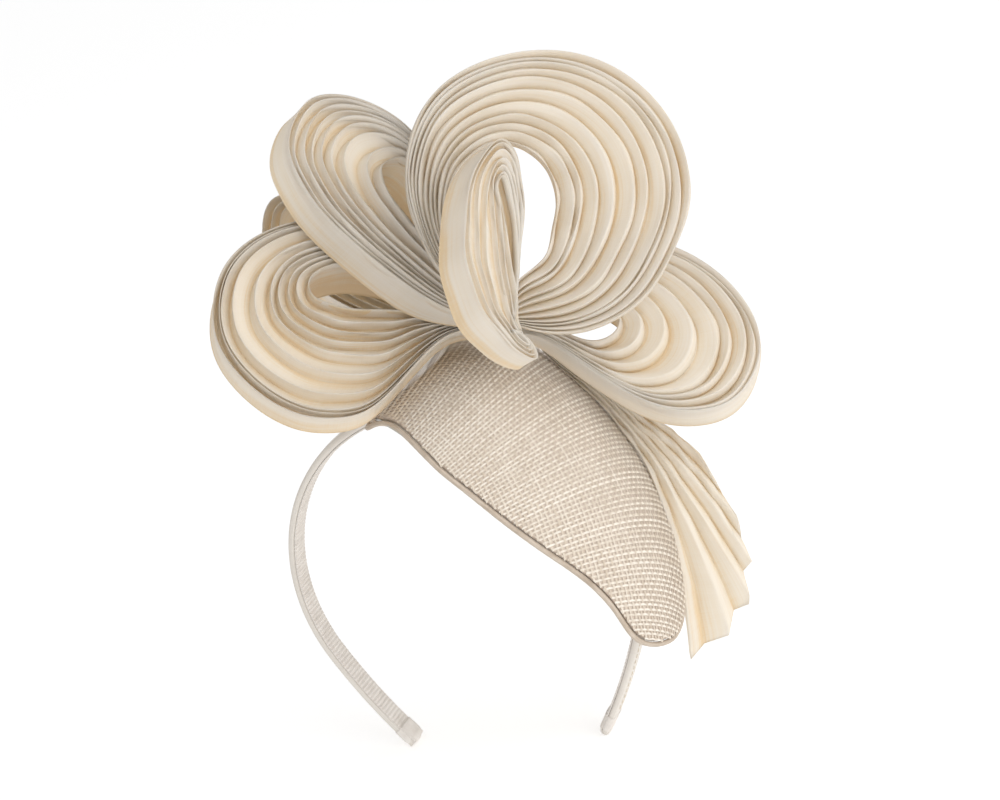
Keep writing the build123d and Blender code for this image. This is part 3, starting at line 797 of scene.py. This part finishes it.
# ---------------------------------------------------------------- root and tacks
def joined(name, parts, material, slot_name, body, nodes):
    """One piece from several (points, faces, threads) parts."""
    first, points, faces, threads = 0, [], [], []
    for part_points, part_faces, part_threads in parts:
        points.append(part_points)
        faces += [tuple(int(v) + first for v in f) for f in part_faces]
        threads.append(part_threads)
        first += len(part_points)
    piece = add_mesh(name, np.concatenate(points), faces, material, np.concatenate(threads))
    stand_in(piece, body, slot_name, *nodes)


def bundle():
    """Gathered stub of cloth that the loops are bound to, fluted by its pleats."""
    rows, sides = 40, 72
    place = np.linspace(ROOT_BACK, ROOT_FRONT, rows)
    angle = np.linspace(0, 2 * np.pi, sides, endpoint=False)
    waist = np.ones(rows)
    for neck in WRAPS:
        waist -= NECK_DEPTH * np.exp(-(((place - neck) / NECK_HALF) ** 2))
    flute = 1 + 0.10 * np.sin(12 * angle)
    radius = ROOT_RADIUS * 0.88 * waist[:, None] * flute[None, :]
    centre_line = np.array(TRIM_ROOT) + place[:, None] * OUT
    ring = (centre_line[:, None] + (radius * np.cos(angle))[..., None] * ACROSS
            + (radius * np.sin(angle))[..., None] * UP)
    threads = np.stack(np.broadcast_arrays(place[:, None], (angle * ROOT_RADIUS)[None, :]), -1)
    caps = [list(range(sides))[::-1], [(rows - 1) * sides + v for v in range(sides)]]
    return ring.reshape(-1, 3), [*grid_faces(rows, sides, wrap_cols=True), *caps], threads.reshape(-1, 2)


def wrap(place, turns):
    """Thread wound round the stub."""
    angle = np.linspace(0, 2 * np.pi * turns, 40 * turns)
    out = place + (angle / angle[-1] - 0.5) * turns * 0.5
    path = (np.array(TRIM_ROOT) + out[:, None] * OUT
            + ROOT_RADIUS * 0.85 * (np.cos(angle)[:, None] * ACROSS + np.sin(angle)[:, None] * UP))
    return tube(path, 0.27, 8)


root_parts = [bundle(), *(wrap(neck, WRAP_TURNS) for neck in WRAPS)]
joined(ROOT_NAME, root_parts, THREAD, "thread", "headpiece", ["loop_root"])

tack_parts = []
for angle, reach in TACKS:
    turn = math.radians(angle)
    out_way = np.array([math.sin(turn), 0.0, math.cos(turn)])
    side_way = np.array([math.cos(turn), 0.0, -math.sin(turn)])
    for side in (-TACK_SPREAD, TACK_SPREAD):
        foot = out_way * (HEAD_RADIUS + TACK_FOOT) + np.array([0.0, side, 0.0])
        run = np.linspace(0.0, reach, 40)
        for phase in (0.0, 2.1, 4.2):
            twist = run * TACK_TWIST + phase
            path = (foot + run[:, None] * out_way + TACK_COIL * np.cos(twist)[:, None] * side_way
                    + TACK_COIL * np.sin(twist)[:, None] * np.array([0.0, 1.0, 0.0]))
            tack_parts.append(tube(path, TACK_STRAND, 8))
joined("thread_tacks", tack_parts, THREAD, "thread", "headpiece", ["band_tacks"])


# ---------------------------------------------------------------- headband
def band_frame(run):
    """Points and outward ways at running lengths along the band's inner face, from its top."""
    side = np.sign(run)
    limit = math.radians(CROWN_HALF_ANGLE)
    crown = np.abs(run) / HEAD_RADIUS
    leg = (np.abs(run) - HEAD_RADIUS * limit) / LEG_RADIUS
    on_leg = crown > limit
    angle = np.where(on_leg, limit + leg, crown)
    out = np.stack([side * np.sin(angle), 0 * angle, np.cos(angle)], -1)
    out[side == 0] = (0.0, 0.0, 1.0)
    leg_centre = -LEG_CENTRE_REACH * np.stack([side * math.sin(limit), 0 * angle,
                                               0 * angle + math.cos(limit)], -1)
    point = np.where(on_leg[:, None], leg_centre + LEG_RADIUS * out, HEAD_RADIUS * out)
    return point, out


def run_at(angle):
    """Running length at an angle of the crown."""
    return HEAD_RADIUS * math.radians(angle)


LEG_END = HEAD_RADIUS * math.radians(CROWN_HALF_ANGLE) + LEG_RADIUS * math.radians(LEG_ANGLE)
HALVES = {
    "left": (run_at(BAND_SEAM), -LEG_END, "left_leg", LEFT_FLEX, -1),
    "right": (run_at(BAND_SEAM), LEG_END, "right_leg", RIGHT_FLEX, 1),
}


def strip_points(run, section):
    """Rings of a section carried along the band: (across, out) pairs at each running length."""
    point, out = band_frame(run)
    section = np.asarray(section)
    if section.ndim == 2:
        section = np.broadcast_to(section, (len(run), *section.shape))
    return (point[:, None] + section[..., 1:] * out[:, None]
            + section[..., :1] * np.array([0.0, 1.0, 0.0]))


def band_piece(name, run, section, material):
    """Closed strip of the band from a closed section at each running length."""
    rings = strip_points(run, section)
    rows, cols = rings.shape[:2]
    edge = np.broadcast_to(np.asarray(section), (rows, cols, 2))
    around = np.concatenate([[0.0], np.cumsum(np.linalg.norm(np.diff(edge[0], axis=0), axis=1))])
    threads = np.stack(np.broadcast_arrays(run[:, None], around[None, :]), -1).reshape(-1, 2)
    caps = [list(range(cols))[::-1], [(rows - 1) * cols + v for v in range(cols)]]
    piece = add_mesh(name, rings.reshape(-1, 3), [*grid_faces(rows, cols, wrap_cols=True), *caps],
                     material, threads)
    return piece


def flex(piece, angle, way):
    """Bakes a strip of the band's placement into its mesh; the ends of its flex are found but not used, so
    the strip is not bent.
    """
    ends = [band_frame(np.array([run_at(angle - way * s * FLEX_SPREAD)]))[0][0] * MM for s in (1, -1)]
    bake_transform(piece)


for side_name, (start, end, leg, flex_angle, way) in HALVES.items():
    length = abs(end - start)
    cover_run = np.linspace(start, end - way * COVER_SHORT, int(length / COVER_STATION))
    cover = band_piece(f"{side_name}_ribbon_cover", cover_run, COVER_SECTION, RIBBON)
    flex(cover, flex_angle, way)
    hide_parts(f"{side_name}_leg_cover", "crown_cover")
    stations = int(length / RIB_PITCH) * RIB_STATIONS
    lining_run = np.linspace(start, end - way * LINING_SHORT, stations)
    phase = 2 * np.pi * np.abs(lining_run - start) / RIB_PITCH
    rib = RIB_HEIGHT * (0.5 - 0.5 * np.cos(phase))
    half = LINING_HALF
    across = np.array([-half, -half * 0.93, -half * 0.6, 0.0, half * 0.6, half * 0.93, half, half, -half])
    face = np.array([LINING_EDGE, 0.12, 0.02, 0.0, 0.02, 0.12, LINING_EDGE, LINING_TOP, LINING_TOP])
    relief = np.array([0.3, 1, 1, 1, 1, 1, 0.3, 0, 0])
    ribbed_face = face[None, :] + rib[:, None] * relief[None, :]
    section = np.stack(np.broadcast_arrays(across[None, :], ribbed_face), -1)
    ribbed = band_piece(f"{side_name}_ribbed_lining", lining_run, section, RIBBED)
    flex(ribbed, flex_angle, way)
    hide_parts(f"{side_name}_leg_lining", "crown_lining")
    # folded end of the ribbon, rounded over the tip
    cap_run = np.linspace(end - way * TIP_LENGTH, end - way * TIP_SHORT, 26)
    nearness = np.abs(cap_run - (end - way * TIP_LENGTH)) / TIP_LENGTH
    rounding = np.sqrt(np.clip(1 - np.clip((nearness - 0.6) / 0.4, 0, 1) ** 2, 0.01, 1))
    ring = np.array(COVER_SECTION + [(3.3, -0.25), (1.6, -0.38), (0.0, -0.42), (-1.6, -0.38), (-3.3, -0.25)])
    middle = np.array([0.0, 1.6])
    swollen = middle + (ring - middle) * (1 + TIP_SWELL / 4.5)
    caps_section = middle + (swollen[None] - middle) * rounding[:, None, None]
    cap = band_piece(f"{side_name}_folded_tip", cap_run, caps_section, RIBBED)
    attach(cap, leg)
    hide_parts(f"{side_name}_tip_fold")
    # stitches along the cover's front edge
    stitch_parts = []
    place = STITCH_START
    while place < STITCH_END:
        run = end - way * np.linspace(place, place + STITCH_LENGTH, 6)
        lift = STITCH_FOOT + STITCH_ARCH * np.sin(np.linspace(0, np.pi, 6))
        point, out = band_frame(run)
        path = point + lift[:, None] * out + np.array([0.0, STITCH_SIDE, 0.0])
        stitch_parts.append(tube(path, STITCH_RADIUS, 6))
        place += STITCH_LENGTH + STITCH_GAP
    joined(f"{side_name}_stitches", stitch_parts, THREAD, "thread", leg, [])

# ---------------------------------------------------------------- floor, light and camera
FLOOR_TONE = 0.93
FLOOR_GLOW = 0.33
FLOOR_HALF = 6.0
STUDIO_STRENGTH = 0.69
floor_material, _, _, floor_shader = new_material("floor")
floor_shader.inputs["Base Color"].default_value = (FLOOR_TONE, FLOOR_TONE, FLOOR_TONE, 1.0)
floor_shader.inputs["Roughness"].default_value = 0.9
floor_shader.inputs["Specular IOR Level"].default_value = 0.1
floor_shader.inputs["Emission Color"].default_value = (1.0, 1.0, 1.0, 1.0)
floor_shader.inputs["Emission Strength"].default_value = FLOOR_GLOW
FLOOR_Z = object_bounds()[0][2]
floor_data = bpy.data.meshes.new("floor")
floor_corners = [(x * FLOOR_HALF, y * FLOOR_HALF, FLOOR_Z) for x, y in ((-1, -1), (1, -1), (1, 1), (-1, 1))]
floor_data.from_pydata(floor_corners, [], [(0, 1, 2, 3)])
floor_data.materials.append(floor_material)
floor = bpy.data.objects.new("floor", floor_data)
bpy.context.scene.collection.objects.link(floor)

world = bpy.data.worlds.new("studio")
world.use_nodes = True
world.node_tree.nodes["Background"].inputs["Color"].default_value = (1.0, 1.0, 1.0, 1.0)
world.node_tree.nodes["Background"].inputs["Strength"].default_value = STUDIO_STRENGTH
bpy.context.scene.world = world
bpy.context.scene.view_settings.view_transform = "Standard"


def soft_light(name, place, aim, size, power):
    """Square soft light at a place, aimed at a point."""
    lamp = bpy.data.lights.new(name, "AREA")
    lamp.size = size
    lamp.energy = power
    holder = bpy.data.objects.new(name, lamp)
    holder.location = place
    holder.rotation_euler = (Vector(aim) - Vector(place)).to_track_quat("-Z", "Y").to_euler()
    bpy.context.scene.collection.objects.link(holder)


CAMERA_DISTANCE = 1.0
CAMERA_AIM = ACROSS * 0.0117 + UP * 0.0601
LENS_RATIO = 2.885
SENSOR = 36.0
aim = tuple(CAMERA_AIM)
# Each light's way from the aim, its distance and size in metres, and its power in watts
LIGHTS = [
    ("front", OUT + UP * 0.15 + ACROSS * 0.75, 1.4, 1.2, 6.2),
    ("key", OUT * 0.4 + ACROSS * 0.7 + np.array([0, 0, 0.8]), 1.1, 0.7, 2.5),
]
for light_name, light_way, distance, size, power in LIGHTS:
    soft_light(light_name, tuple(CAMERA_AIM + distance * unit(light_way)), aim, size, power)

camera_data = bpy.data.cameras.new("camera")
camera_data.sensor_width = SENSOR
camera_data.lens = LENS_RATIO * SENSOR
camera_data.clip_start = 0.01
camera = bpy.data.objects.new("camera", camera_data)
bpy.context.scene.collection.objects.link(camera)
axes = Matrix((ACROSS, UP, OUT)).transposed()
camera.matrix_world = Matrix.Translation(CAMERA_AIM + OUT * CAMERA_DISTANCE) @ axes.to_4x4()
bpy.context.scene.camera = camera
